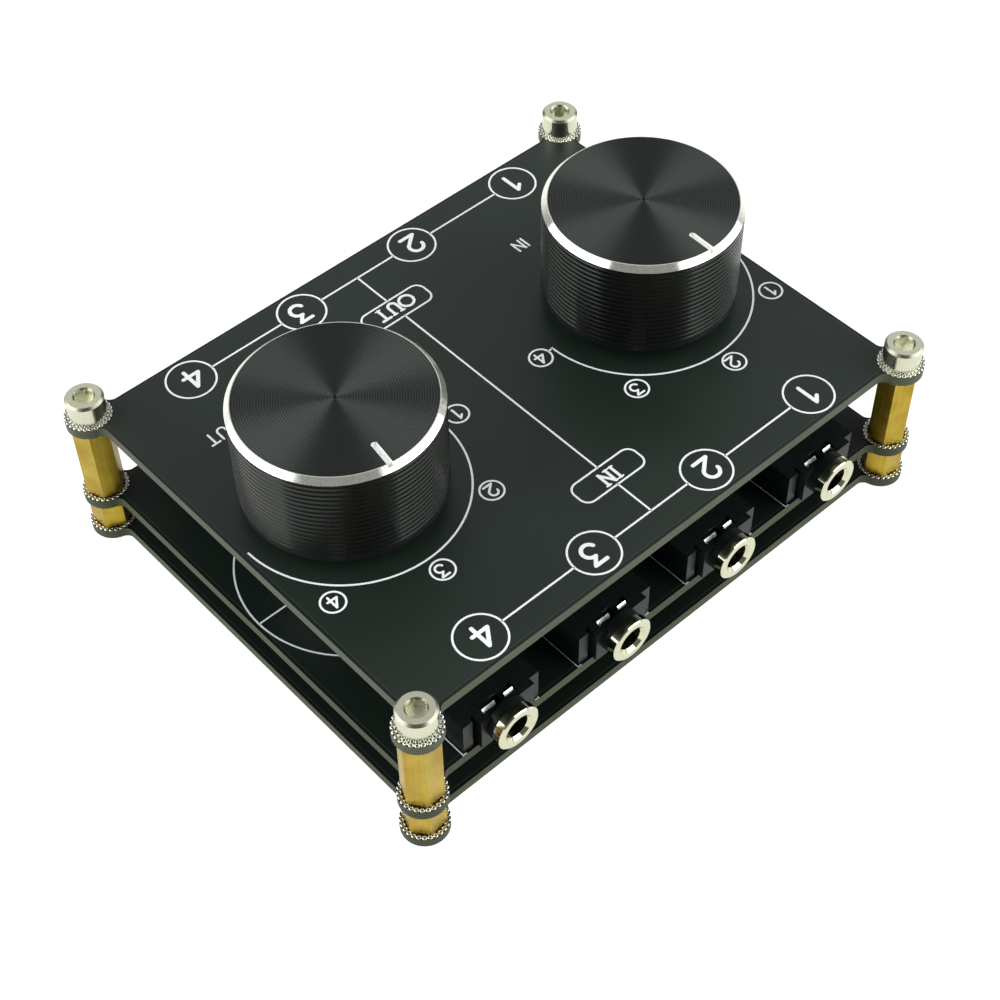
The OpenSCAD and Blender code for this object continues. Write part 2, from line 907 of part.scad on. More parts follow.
// An earth plate beside the nose's liner, with a slanting leaf from its upper end over the plug hole
module earth_plate(leaf_inner_x) {
    inner = liner_r + slot_gap;
    leaf_floor = window_floor + 0.06;
    low = [leaf_front_y, leaf_floor + 0.1];
    high = low + leaf_w * [-sin(leaf_tilt), cos(leaf_tilt)];
    back = -leaf_t * [cos(leaf_tilt), sin(leaf_tilt)];
    span([inner, earth_outer_x], [earth_back, earth_front], [0.6, earth_top]);
    span([inner, leaf_outer_x], [leaf_front_y - 0.25, earth_front], [leaf_floor, leaf_floor + 0.2]);
    translate([leaf_inner_x, 0, 0])
        rotate([90, 0, 90])
            linear_extrude(leaf_outer_x - leaf_inner_x)
                polygon([low, high, high + back, low + back]);
    span([earth_pin_x, earth_outer_x], [earth_pin_back, earth_front], [0.6, 1.6]);
    span([earth_pin_x, earth_outer_x], [earth_pin_back, earth_pin_back + earth_pin_w], [-pin_below, 1]);
}

module jack_contacts(side, n) {
    color(nickel_colour)
        at_jack(side, n) {
            side_spring(tip_spring_back, tip_spring_front);
            mirror([1, 0, 0])
                side_spring(ring_spring_back, ring_spring_front);
            earth_plate(0.45);
            mirror([1, 0, 0])
                earth_plate(1.1);
        }
}

module at_jack_pins() {
    x = spring_x + spring_foot - jack_pin_w / 2;
    for (p = [[x, tip_spring_back], [-x, ring_spring_back]])
        translate([p[0], p[1] + jack_pin_w / 2, 0])
            children();
    for (s = [-1, 1])
        translate([s * (earth_pin_x + earth_outer_x) / 2, earth_pin_back + earth_pin_w / 2, 0])
            children();
}

// Each piece under its own name

top_panel();
middle_board();
bottom_board();
upper_pillars();
lower_pillars();
cap_screws();
bottom_screws();

for (side = ["in", "out"]) {
    can(side);
    base(side);
    contacts(side);
    rivets(side);
    washer(side);
    nut(side);
    shaft(side);
    rotor(side);
    wipers(side);
    detent_ball(side);
    detent_spring(side);
    knob(side);
    grub_screw(side);
    for (n = [1:positions]) {
        jack_body(side, n);
        jack_nose(side, n);
        jack_contacts(side, n);
    }
}
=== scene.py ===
# %% [markdown]
# # Audio switch box
# Three circuit boards stand on brass pillars, with a row of jacks on either long
# side and two turned knobs on top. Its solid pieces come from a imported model
# that is already the right size. This lesson gives them their finishes, adds
# what is too thin for a solid, and sets up a picture of the box.

import math

import bmesh
import bpy
from mathutils import Matrix, Vector


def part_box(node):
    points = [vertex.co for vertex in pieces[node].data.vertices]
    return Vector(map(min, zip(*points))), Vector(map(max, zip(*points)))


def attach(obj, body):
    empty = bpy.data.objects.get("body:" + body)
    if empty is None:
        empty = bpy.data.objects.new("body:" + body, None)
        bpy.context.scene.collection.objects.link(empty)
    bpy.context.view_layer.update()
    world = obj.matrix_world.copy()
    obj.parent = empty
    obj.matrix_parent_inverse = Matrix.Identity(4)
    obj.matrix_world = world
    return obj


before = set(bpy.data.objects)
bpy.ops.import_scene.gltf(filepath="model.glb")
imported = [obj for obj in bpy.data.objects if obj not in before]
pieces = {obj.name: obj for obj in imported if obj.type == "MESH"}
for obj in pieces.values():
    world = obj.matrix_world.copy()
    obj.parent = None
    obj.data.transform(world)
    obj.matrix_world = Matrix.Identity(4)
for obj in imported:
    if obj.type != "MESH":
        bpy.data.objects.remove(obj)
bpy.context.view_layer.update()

# %% [markdown]
# Blender works in metres here, but small parts are easier to think about in
# millimetres, so lengths below are written in millimetres and multiplied by MM
# where a mesh is made. The heights that prints and pads lie on are read from
# the boards themselves, so nothing can float or sink if a board moves. The
# corner screws' places come from the box round their heads in the same way.

# %% Lengths and levels
MM = 0.001


def top_of(name):
    """Height of a piece's highest point, in millimetres."""
    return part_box(name)[1].z / MM


def bottom_of(name):
    """Height of a piece's lowest point, in millimetres."""
    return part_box(name)[0].z / MM


panel_z = top_of("top_panel")
deck_z = top_of("middle_board")
knob_x = (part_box("out_knob")[0].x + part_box("out_knob")[1].x) / 2 / MM
cap_head_r = 2.7
screw_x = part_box("cap_screws")[1].x / MM - cap_head_r
screw_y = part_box("cap_screws")[1].y / MM - cap_head_r
print("panel at", round(panel_z, 2), "deck at", round(deck_z, 2), "knobs at", round(knob_x, 2))

# %% [markdown]
# The camera stands where the photographer stood. Its place and angles were
# worked out from the corners of the boards, whose real size is known. The last
# turn, the roll, is small, but without it the verticals would lean.

# %% Camera
camera_place = Vector((120.972, 136.547, 215.826)) * MM
camera_azimuth = math.radians(138.451)
camera_height_angle = math.radians(49.866)
camera_roll = math.radians(-1.021)
sensor_w = 36
focal_length = 69.66
lens_shift = (-0.0003, 0.0007)


def camera_axes(azimuth, elevation, roll):
    """Right, up and backward directions of a camera that looks down at an angle."""
    back = Vector((math.sin(azimuth) * math.cos(elevation),
                   -math.cos(azimuth) * math.cos(elevation), math.sin(elevation)))
    right = (-back).cross(Vector((0, 0, 1))).normalized()
    up = right.cross(-back)
    turned_right = math.cos(roll) * right + math.sin(roll) * up
    turned_up = -math.sin(roll) * right + math.cos(roll) * up
    return turned_right, turned_up, back


lens = bpy.data.cameras.new("photo_camera")
lens.sensor_width = sensor_w
lens.lens = focal_length
lens.shift_x, lens.shift_y = lens_shift
camera = bpy.data.objects.new("photo_camera", lens)
bpy.context.scene.collection.objects.link(camera)
right, up, back = camera_axes(camera_azimuth, camera_height_angle, camera_roll)
camera_turn = Matrix((right, up, back)).transposed()
camera.matrix_world = Matrix.Translation(camera_place) @ camera_turn.to_4x4()
bpy.context.scene.camera = camera
print("camera at", [round(v, 3) for v in camera.location], "lens", lens.lens, "mm")

# %% [markdown]
# The box was photographed on a bright table between two large soft boxes, left
# and right of the camera. They are why each knob's bevel has two white arcs and
# each turned top has four pale wedges. The table glows a little itself, so that
# the ground is white with hardly a shadow.

# %% Soft boxes
scene = bpy.context.scene
scene.view_settings.view_transform = "Standard"
scene.view_settings.look = "None"
soft_box_rise = math.radians(29)
soft_box_distance = 0.75
soft_box_size = (1.0, 0.62)
soft_box_power = 7.2


def soft_box(name, azimuth):
    """An area light that looks at the box. Azimuth is from +X towards +Y, in degrees."""
    data = bpy.data.lights.new(name, "AREA")
    data.shape = "RECTANGLE"
    data.size, data.size_y = soft_box_size
    data.energy = soft_box_power
    light = bpy.data.objects.new(name, data)
    turn, rise = math.radians(azimuth), soft_box_rise
    place = soft_box_distance * Vector((math.cos(turn) * math.cos(rise),
                                        math.sin(turn) * math.cos(rise), math.sin(rise)))
    light.location = place
    light.rotation_euler = place.to_track_quat("Z", "Y").to_euler()
    scene.collection.objects.link(light)


soft_box("left_box", -33)
soft_box("right_box", 132)

# %% [markdown]
# Every finish is a small network of nodes. Four helpers start a material, add a
# node, join it to the shader and put the finish on a piece. A value that is the
# same everywhere is set on the shader itself, and only what varies over the
# surface is joined to it.

# %% Finish helpers
def new_finish(name, colour, roughness, metallic=0.0, **more):
    """A material with one Principled shader. Returns the material and the shader."""
    material = bpy.data.materials.new(name)
    material.use_nodes = True
    shader = material.node_tree.nodes["Principled BSDF"]
    shader.inputs["Base Color"].default_value = (*colour, 1)
    shader.inputs["Roughness"].default_value = roughness
    shader.inputs["Metallic"].default_value = metallic
    for socket, value in more.items():
        shader.inputs[socket.replace("_", " ")].default_value = value
    return material, shader


def add(material, kind, values=None, **settings):
    """Adds a shader node, sets it up and joins the inputs that are given as sockets."""
    made = material.node_tree.nodes.new("ShaderNode" + kind)
    for setting, value in settings.items():
        setattr(made, setting, value)
    for socket, value in (values or {}).items():
        if isinstance(value, bpy.types.NodeSocket):
            material.node_tree.links.new(value, made.inputs[socket])
        else:
            made.inputs[socket].default_value = value
    return made


def join(material, output, shader, socket):
    material.node_tree.links.new(output, shader.inputs[socket])


def dress(name, material):
    """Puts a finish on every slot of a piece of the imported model."""
    for slot in pieces[name].material_slots:
        slot.material = material


print("finish helpers ready")

# %% [markdown]
# Three more helpers work with values that vary over a surface. One does a sum,
# one goes from a colour to another, and one maps a range onto another.

# %% Helpers for sums and blends
def sum_of(material, operation, a, b=0.0):
    """One math node. Returns its output."""
    return add(material, "Math", {0: a, 1: b}, operation=operation).outputs[0]


def blend_colours(material, factor, first, second):
    """Goes from the first colour at 0 to the second at 1."""
    made = add(material, "Mix", {"Factor": factor}, data_type="RGBA")
    for socket, value in ((6, first), (7, second)):
        if isinstance(value, bpy.types.NodeSocket):
            material.node_tree.links.new(value, made.inputs[socket])
        else:
            made.inputs[socket].default_value = (*value, 1)
    return made.outputs[2]


def between(material, value, low, high, to_low=0.0, to_high=1.0):
    """Maps a range onto another one, and stays inside it."""
    made = add(material, "MapRange", {"Value": value, "From Min": low, "From Max": high,
                                      "To Min": to_low, "To Max": to_high})
    return made.outputs["Result"]


print("sums and blends ready")

# %% [markdown]
# The table is matt white card, and its faint tooth is a bump from a fine noise.
# It is very wide, so that its far edge stays out of most pictures, and lies a
# hair lower than the screw heads that stand on it, because two faces in one
# plane would flicker.

# %% Table
table_half = 12
table_drop = 0.05
card_colour = (0.25, 0.25, 0.245)
glow_colour = (1, 1, 0.985, 1)
glow = 0.95
table_stuff, shader = new_finish("white_card", card_colour, 0.7)
shader.inputs["Emission Color"].default_value = glow_colour
shader.inputs["Emission Strength"].default_value = glow
place = add(table_stuff, "TexCoord")
tooth = add(table_stuff, "TexNoise", {"Vector": place.outputs["Object"], "Scale": 900.0})
tone = between(table_stuff, tooth.outputs["Fac"], 0.3, 0.7, 0.62, 0.78)
join(table_stuff, tone, shader, "Roughness")
bump = add(table_stuff, "Bump", {"Height": tooth.outputs["Fac"], "Distance": 0.00002})
join(table_stuff, bump.outputs["Normal"], shader, "Normal")

mesh = bpy.data.meshes.new("table")
bm = bmesh.new()
bmesh.ops.create_grid(bm, x_segments=8, y_segments=8, size=table_half)
bm.to_mesh(mesh)
bm.free()
table = bpy.data.objects.new("table", mesh)
table.location.z = -table_drop * MM
scene.collection.objects.link(table)
table.data.materials.append(table_stuff)
print("table", 2 * table_half, "m square")

# %% [markdown]
# The room is the world's background: dim grey, with a pale screen high up
# behind the box. The glossy panel mirrors that screen, and so gets paler towards
# its far corner. Two numbers make the screen: how far a direction leans to the
# back of the room, and how high it points.

# %% Room
to_back = (-0.664, -0.748, 0.0)
screen_lean = (0.45, 0.80)
screen_height = (0.34, 0.53)
room_grey = 0.17
screen_white = 0.85
room = bpy.data.worlds.new("room")
room.use_nodes = True
looking = add(room, "TexCoord")
lean = add(room, "VectorMath", {0: looking.outputs["Generated"], 1: to_back},
           operation="DOT_PRODUCT")
height = add(room, "SeparateXYZ", {0: looking.outputs["Generated"]})
screen = sum_of(room, "MULTIPLY", between(room, lean.outputs["Value"], *screen_lean),
                between(room, height.outputs["Z"], *screen_height))
join(room, between(room, screen, 0, 1, room_grey, screen_white),
     room.node_tree.nodes["Background"], "Color")
scene.world = room
print("room of grey", room_grey, "with a screen of", screen_white)

# %% [markdown]
# A circuit board is glass cloth in resin with a coat of black resist on both
# faces. The resist is dark grey with a faint print of the cloth, and the bare
# cut edge is grey-green with fine layers. One material does both: a face whose
# normal points up or down is resist, and any other is edge. The resist is drawn
# back half a millimetre from the straight edges, which leaves a darker border
# and a thin pale lip where the coat begins. Both come from one number, the way
# in from the nearest straight edge.

# %% Where the resist lies
board_half_w = 43.9
board_half_d = 34.0
border_w = 0.50
lip_w = 0.06


def resist_masks(material, axes):
    """Two masks: the coated area, and the thin lip where the coat begins."""
    x_out = sum_of(material, "ABSOLUTE", axes.outputs["X"])
    y_out = sum_of(material, "ABSOLUTE", axes.outputs["Y"])
    x_in = sum_of(material, "SUBTRACT", board_half_w * MM, x_out)
    y_in = sum_of(material, "SUBTRACT", board_half_d * MM, y_out)
    inside = sum_of(material, "MINIMUM", x_in, y_in)
    coated = between(material, inside, border_w * MM, (border_w + lip_w) * MM)
    rise = between(material, inside, (border_w - lip_w) * MM, border_w * MM)
    fall = between(material, inside, (border_w + 0.08) * MM, (border_w + 0.02) * MM)
    return coated, sum_of(material, "MULTIPLY", rise, fall)


print("border", border_w, "mm wide, lip", lip_w, "mm")

# %% [markdown]
# The cut edge shows the layers of glass cloth. A wave along Z gives them, a fine
# noise breaks them up, and a slow cloud shades them here and there.

# %% Cut edge
edge_colour = (0.049, 0.062, 0.031)
edge_roughness = 0.62


def cut_edge(material, place, cloud):
    """The streaks of the layers, and the colour that they make."""
    layers = add(material, "TexWave", {"Vector": place.outputs["Object"], "Scale": 800.0,
                                       "Distortion": 1.5, "Detail": 2.0, "Detail Scale": 3.0},
                 bands_direction="Z")
    fibres = add(material, "TexNoise", {"Vector": place.outputs["Object"], "Scale": 4000.0,
                                        "Detail": 2.0})
    streak = sum_of(material, "MULTIPLY", layers.outputs["Fac"], fibres.outputs["Fac"])
    streak = sum_of(material, "ADD", streak,
                    between(material, cloud.outputs["Fac"], 0.3, 0.7, -0.2, 0.3))
    darker = tuple(0.72 * v for v in edge_colour)
    lighter = tuple(1.35 * v for v in edge_colour)
    return streak, blend_colours(material, streak, darker, lighter)


print("edge colour", edge_colour)

# %% [markdown]
# The cloth under the resist shows as two crossed waves, warp and weft. They go
# into the bump together with the streaks, and weigh a quarter as much.

# %% Cloth under the resist
cloth_scale = 900.0


def cloth_bump(material, place, streak):
    """The normal of a board's surface."""
    warp = add(material, "TexWave", {"Vector": place.outputs["Object"], "Scale": cloth_scale},
               bands_direction="X")
    weft = add(material, "TexWave", {"Vector": place.outputs["Object"], "Scale": cloth_scale},
               bands_direction="Y")
    cloth = sum_of(material, "ADD", warp.outputs["Fac"], weft.outputs["Fac"])
    relief = sum_of(material, "ADD", sum_of(material, "MULTIPLY", cloth, 0.25), streak)
    bump = add(material, "Bump", {"Height": relief, "Strength": 0.35, "Distance": 0.00001})
    return bump.outputs["Normal"]


print("cloth scale", cloth_scale)

# %% [markdown]
# The resist has slow clouds, because it is poured. The lean of a face tells the
# resist from the cut edge, and the masks add the border and the lip. The two
# lower boards get less gloss, and their resist is painted darker than the
# panel's, as painted shade under the panel.

# %% Board finish
resist_colour = (0.0092, 0.0180, 0.0128)
border_colour = (0.0045, 0.008, 0.0065)
lip_colour = (0.052, 0.064, 0.058)
lip_cover = 0.7
resist_roughness = 0.42


def board_finish(name, gloss, tone):
    resist_here = tuple(tone * v for v in resist_colour)
    material, shader = new_finish(name, resist_here, resist_roughness, Specular_IOR_Level=gloss)
    place = add(material, "TexCoord")
    axes = add(material, "SeparateXYZ", {0: place.outputs["Object"]})
    tilt = add(material, "SeparateXYZ", {0: place.outputs["Normal"]})
    flat = sum_of(material, "ABSOLUTE", tilt.outputs["Z"])
    is_face = sum_of(material, "GREATER_THAN", flat, 0.7)
    coated, lip = resist_masks(material, axes)

    cloud = add(material, "TexNoise", {"Vector": place.outputs["Object"], "Scale": 60.0,
                                       "Detail": 3.0})
    patchy = between(material, cloud.outputs["Fac"], 0.3, 0.7, 0.85, 1.15)
    resist = add(material, "VectorMath", {0: resist_here, 3: patchy}, operation="SCALE")
    covered = blend_colours(material, coated, border_colour, resist.outputs[0])
    lipped = blend_colours(material, sum_of(material, "MULTIPLY", lip, lip_cover), covered,
                           lip_colour)

    streak, edge = cut_edge(material, place, cloud)
    colour = blend_colours(material, is_face, edge, lipped)
    join(material, colour, shader, "Base Color")
    join(material, between(material, is_face, 0, 1, edge_roughness, resist_roughness), shader,
         "Roughness")
    join(material, cloth_bump(material, place, streak), shader, "Normal")
    return material


panel_finish = board_finish("black_resist_board", gloss=0.5, tone=1.0)
# The lower boards' tone of 0.6 is painted shade: a darker copy of the panel's resist.
shaded_inner_finish = board_finish("shaded_inner_resist_board", gloss=0.2, tone=0.6)
dress("top_panel", panel_finish)
for name in ("middle_board", "bottom_board"):
    dress(name, shaded_inner_finish)
print("boards dressed:", panel_finish.name, shaded_inner_finish.name)

# %% [markdown]
# The pillars are drawn brass bar. Drawing leaves long fine lines down the
# flats, and the bar has lost its first shine, so its colour wanders between
# lemon and orange. Stretching a noise along Z gives the lines, and a slow noise
# gives the wandering colour. The lines go to colour, roughness and bump alike.

# %% Brass
orange_brass = (0.35, 0.215, 0.018)
lemon_brass = (0.47, 0.36, 0.045)
drawing_lines = (5200, 5200, 90)
lines_share = 0.4


def brass_finish(name, low, high):
    material, shader = new_finish(name, high, 0.4, metallic=1.0, Anisotropic=0.35)
    place = add(material, "TexCoord")
    stretched = add(material, "Mapping", {"Vector": place.outputs["Object"],
                                          "Scale": drawing_lines})
    lines = add(material, "TexNoise", {"Vector": stretched.outputs[0], "Scale": 1.0,
                                       "Detail": 3.0})
    slow = add(material, "TexNoise", {"Vector": place.outputs["Object"], "Scale": 340.0,
                                      "Detail": 5.0})
    from_lines = sum_of(material, "MULTIPLY", lines.outputs["Fac"], lines_share)
    from_slow = sum_of(material, "MULTIPLY", slow.outputs["Fac"], 1 - lines_share)
    mix = sum_of(material, "ADD", from_lines, from_slow)
    join(material, blend_colours(material, between(material, mix, 0.35, 0.65), low, high),
         shader, "Base Color")
    join(material, between(material, lines.outputs["Fac"], 0.3, 0.7, 0.34, 0.46), shader,
         "Roughness")
    bump = add(material, "Bump", {"Height": lines.outputs["Fac"], "Strength": 0.4,
                                  "Distance": 0.0000015})
    join(material, bump.outputs["Normal"], shader, "Normal")
    return material


brass = brass_finish("drawn_brass", orange_brass, lemon_brass)
for name in ("upper_pillars", "lower_pillars"):
    dress(name, brass)
print("pillars dressed")

# %% [markdown]
# The corner screws are nickel plated and polished. Their sides work like round
# mirrors: they show the dark ear with its ring of plated holes, and above that
# the white table. The top face is duller, because it keeps the marks of the punch
# that formed the head. Its colour is also painted paler, as painted light, and the
# chamfer round it is painted darker, as painted shade. The way a face leans tells
# the three apart: a side has no upward part, a top is all up.

# %% Nickel screws
nickel_colour = (0.62, 0.63, 0.49)
nickel_roughness = {"side": 0.17, "chamfer": 0.30, "top": 0.40}
# Painted light and shade: the colour is scaled up on the top and down on the chamfer.
nickel_painted_light = {"side": 1.0, "chamfer": 0.5, "top": 1.45}


def nickel_finish(name, colour, dull_above):
    material, shader = new_finish(name, colour, nickel_roughness["side"], metallic=1.0)
    place = add(material, "TexCoord")
    axes = add(material, "SeparateXYZ", {0: place.outputs["Object"]})
    tilt = add(material, "SeparateXYZ", {0: place.outputs["Normal"]})
    high = sum_of(material, "GREATER_THAN", axes.outputs["Z"], dull_above * MM)
    sloping = sum_of(material, "MULTIPLY", between(material, tilt.outputs["Z"], 0.3, 0.5), high)
    top = sum_of(material, "MULTIPLY", between(material, tilt.outputs["Z"], 0.8, 0.95), high)
    grain = add(material, "TexNoise", {"Vector": place.outputs["Object"], "Scale": 3500.0,
                                       "Detail": 3.0})
    tone = between(material, grain.outputs["Fac"], 0.3, 0.7)

    def by_face(values):
        leaning = between(material, sloping, 0, 1, values["side"], values["chamfer"])
        return between(material, top, 0, 1, leaning, values["top"])

    marks = sum_of(material, "MULTIPLY", tone, 0.05)
    join(material, sum_of(material, "ADD", by_face(nickel_roughness), marks), shader, "Roughness")
    clean = blend_colours(material, tone, tuple(0.9 * v for v in colour), colour)
    # The nickel colour times painted light on the top and painted shade on the chamfer.
    painted_sheen = by_face(nickel_painted_light)
    nickel_with_painted_light = add(material, "VectorMath", {0: clean, 3: painted_sheen}, operation="SCALE")
    join(material, nickel_with_painted_light.outputs[0], shader, "Base Color")
    bump = add(material, "Bump", {"Height": grain.outputs["Fac"], "Strength": 0.25,
                                  "Distance": 0.00001})
    join(material, bump.outputs["Normal"], shader, "Normal")
    return material


nickel = nickel_finish("polished_nickel", nickel_colour, panel_z + 1)
dress("cap_screws", nickel)
dress("bottom_screws", nickel)
for side in ("in", "out"):
    dress(f"{side}_nut", nickel)
    dress(f"{side}_washer", nickel)
print("screws dressed")

# %% [markdown]
# The knobs are turned aluminium, anodised black. The tool leaves rings on the
# top, and light on fine rings spreads into wedges that meet in the centre: the
# shader's anisotropy does this, with its direction turned round the axis. The
# dye in the coat scatters a little light too, so the shader is a little less than
# all metal, also on the bevel. The bevel was cut after anodising and is bare,
# with a thin lip that reaches onto the top, and the pointer's slot is filled with
# white paint. Masks made from height and distance to the axis tell the shader
# which is which.

# %% Which part of the knob is which
bevel_inner_r = 13.2
bevel_height = 0.8
bevel_lip = 0.12
pointer_depth = 0.35
hub_r = 5


def knob_masks(material, axes, radius, top_z):
    """Two masks: the bare bevel with its lip, and the painted slot."""
    below_top = sum_of(material, "SUBTRACT", top_z * MM, axes.outputs["Z"])
    outside = sum_of(material, "GREATER_THAN", radius, (bevel_inner_r - bevel_lip) * MM)
    in_bevel = sum_of(material, "LESS_THAN", below_top, (bevel_height + 0.01) * MM)
    bevel = sum_of(material, "MULTIPLY", outside, in_bevel)
    lowered = sum_of(material, "GREATER_THAN", below_top, 0.03 * MM)
    near_top = sum_of(material, "LESS_THAN", below_top, (pointer_depth + 0.02) * MM)
    in_slot = sum_of(material, "MULTIPLY", lowered, near_top)
    pointer = sum_of(material, "MULTIPLY", in_slot,
                     sum_of(material, "GREATER_THAN", radius, hub_r * MM))
    painted = sum_of(material, "MULTIPLY", pointer, sum_of(material, "SUBTRACT", 1.0, bevel))
    return bevel, painted


print("bevel from", bevel_inner_r - bevel_lip, "mm outwards")

# %% [markdown]
# The rings on the top and the lines on the side are sine waves, of the distance
# to the axis and of the height. They go into colour and bump, but the bump
# leaves out the bare bevel and the painted slot.

# %% Turning marks
ring_pitch = 0.34
groove_pitch = 0.4


def wave(material, along, pitch):
    """A sine wave with its pitch in millimetres."""
    return sum_of(material, "SINE", sum_of(material, "MULTIPLY", along,
                                           2 * math.pi / (pitch * MM)))


def turned_bump(material, rings, grooves, is_top, bevel, painted):
    """The normal of a knob's surface."""
    on_top = sum_of(material, "MULTIPLY", rings, is_top)
    on_side = sum_of(material, "MULTIPLY", grooves, sum_of(material, "SUBTRACT", 1.0, is_top))
    relief = sum_of(material, "ADD", on_top, sum_of(material, "MULTIPLY", on_side, 0.25))
    smooth = sum_of(material, "SUBTRACT", 1.0, sum_of(material, "MAXIMUM", bevel, painted))
    bump = add(material, "Bump", {"Height": sum_of(material, "MULTIPLY", relief, smooth),
                                  "Strength": 0.5, "Distance": 0.000014})
    return bump.outputs["Normal"]


print("rings every", ring_pitch, "mm, lines every", groove_pitch, "mm")

# %% [markdown]
# Now the coat itself. A pair of colours belongs to each region: the dyed top,
# the dyed side and the bare bevel. The top's pair is lighter than the side's on
# one and the same coat: painted light on the top and painted shade on the side.
# The tangent runs round the axis, and a quarter turn of the anisotropy spreads
# the light across the rings.

# %% Knob finish
top_roughness = 0.55
side_roughness = 0.21
bevel_roughness = 0.18
metal_share = 0.86
bare_metal = ((0.81, 0.83, 0.74), (0.89, 0.91, 0.83))
# Painted light and shade: the top's colours are lighter than the side's on the same coat.
dyed_top_painted_light = ((0.043, 0.049, 0.045), (0.088, 0.100, 0.092))
dyed_side_painted_shade = ((0.018, 0.021, 0.018), (0.030, 0.033, 0.029))
pointer_paint = (0.97, 0.97, 0.95)


def knob_finish(name, axis_x, top_z):
    material, shader = new_finish(name, dyed_side_painted_shade[1], side_roughness, Anisotropic=0.95,
                                  Anisotropic_Rotation=0.25)
    place = add(material, "TexCoord")
    axes = add(material, "SeparateXYZ", {0: place.outputs["Object"]})
    tilt = add(material, "SeparateXYZ", {0: place.outputs["Normal"]})
    x = sum_of(material, "SUBTRACT", axes.outputs["X"], axis_x * MM)
    y = axes.outputs["Y"]
    radius = sum_of(material, "SQRT", sum_of(material, "ADD", sum_of(material, "MULTIPLY", x, x),
                                             sum_of(material, "MULTIPLY", y, y)))
    is_top = sum_of(material, "GREATER_THAN", tilt.outputs["Z"], 0.95)
    bevel, painted = knob_masks(material, axes, radius, top_z)

    rings = wave(material, radius, ring_pitch)
    grooves = wave(material, axes.outputs["Z"], groove_pitch)
    scratch = add(material, "TexNoise", {"Vector": place.outputs["Object"], "Scale": 1800.0,
                                         "Detail": 4.0})
    scratched = between(material, scratch.outputs["Fac"], 0.35, 0.65)
    bare = blend_colours(material, scratched, *bare_metal)
    # The top colour carries painted light, and the side colour carries painted shade.
    top_colour = blend_colours(material, between(material, rings, -1, 1), *dyed_top_painted_light)
    side_colour = blend_colours(material, between(material, grooves, -1, 1), *dyed_side_painted_shade)
    anodised = blend_colours(material, is_top, side_colour, top_colour)
    unpainted = blend_colours(material, bevel, anodised, bare)
    join(material, blend_colours(material, painted, unpainted, pointer_paint), shader, "Base Color")
    join(material, between(material, painted, 0, 1, metal_share, 0), shader, "Metallic")
    anodised_rough = between(material, is_top, 0, 1, side_roughness, top_roughness)
    join(material, between(material, bevel, 0, 1, anodised_rough, bevel_roughness), shader,
         "Roughness")
    join(material, turned_bump(material, rings, grooves, is_top, bevel, painted), shader,
         "Normal")
    around = add(material, "Tangent", direction_type="RADIAL", axis="Z")
    join(material, around.outputs[0], shader, "Tangent")
    return material


for side, axis_x in (("in", -knob_x), ("out", knob_x)):
    dress(f"{side}_knob", knob_finish(f"{side}_knob_anodised", axis_x, top_of(f"{side}_knob")))
print("knobs dressed")

# %% [markdown]
# The selector under each knob is a die-cast zinc can on a brown laminate base.
# Most of it hides between the boards, but it shows from the side, so it gets
# its real finishes too: cast zinc, laminate, silvered contacts, steel shaft and
# a black moulded rotor. They differ in colour, gloss and the size of their
# grain, so one function makes them all from a noise.

# %% Grained finishes
def grained_finish(name, dark, light, roughness, metallic=0.0, scale=900.0, bump_mm=0.01, **more):
    """A finish whose colour and roughness wander a little, with a fine grain."""
    material, shader = new_finish(name, light, roughness, metallic, **more)
    place = add(material, "TexCoord")
    grain = add(material, "TexNoise", {"Vector": place.outputs["Object"], "Scale": scale,
                                       "Detail": 4.0, "Roughness": 0.6})
    fac = between(material, grain.outputs["Fac"], 0.3, 0.7)
    join(material, blend_colours(material, fac, dark, light), shader, "Base Color")
    join(material, between(material, fac, 0, 1, 0.85 * roughness, 1.15 * roughness), shader,
         "Roughness")
    bump = add(material, "Bump", {"Height": grain.outputs["Fac"], "Strength": 0.5,
                                  "Distance": bump_mm * MM})
    join(material, bump.outputs["Normal"], shader, "Normal")
    return material


print("grained finishes ready")

# %% [markdown]
# The names of a selector's pieces differ only in their side, in or out, so one
# table of finishes serves both selectors. The numbers in each finish are its
# darker and its lighter colour and its roughness.

# %% Selector finishes
zinc = grained_finish("cast_zinc", (0.36, 0.37, 0.38), (0.52, 0.53, 0.54), 0.42, metallic=1.0,
                      scale=700.0, bump_mm=0.03)
laminate = grained_finish("brown_laminate", (0.09, 0.035, 0.014), (0.16, 0.07, 0.03), 0.5,
                          scale=1500.0)
silvered = grained_finish("silvered_brass", (0.72, 0.68, 0.58), (0.86, 0.83, 0.76), 0.25,
                          metallic=1.0, scale=1200.0)
steel = grained_finish("ground_steel", (0.42, 0.42, 0.43), (0.58, 0.58, 0.60), 0.26, metallic=1.0,
                       scale=2200.0)
rotor_plastic = grained_finish("black_rotor", (0.03, 0.03, 0.033), (0.06, 0.06, 0.066), 0.45)
black_steel = grained_finish("black_oxide_steel", (0.015, 0.015, 0.017), (0.04, 0.04, 0.045), 0.38,
                             metallic=0.8, scale=1800.0)
selector_finishes = {
    "can": zinc, "rivets": zinc, "base": laminate, "contacts": silvered, "wipers": silvered,
    "shaft": steel, "detent_ball": steel, "detent_spring": steel, "rotor": rotor_plastic,
    "grub_screw": black_steel,
}
for side in ("in", "out"):
    for part, finish in selector_finishes.items():
        dress(f"{side}_{part}", finish)
print("selectors dressed:", ", ".join(selector_finishes))

# %% [markdown]
# A jack is a black satin moulding with a nickel plated nose. The moulding is a
# neutral black that reflects the white table in soft patches, the nose is a warm
# pale metal with a high polish, and the springs in its window are bright tin.

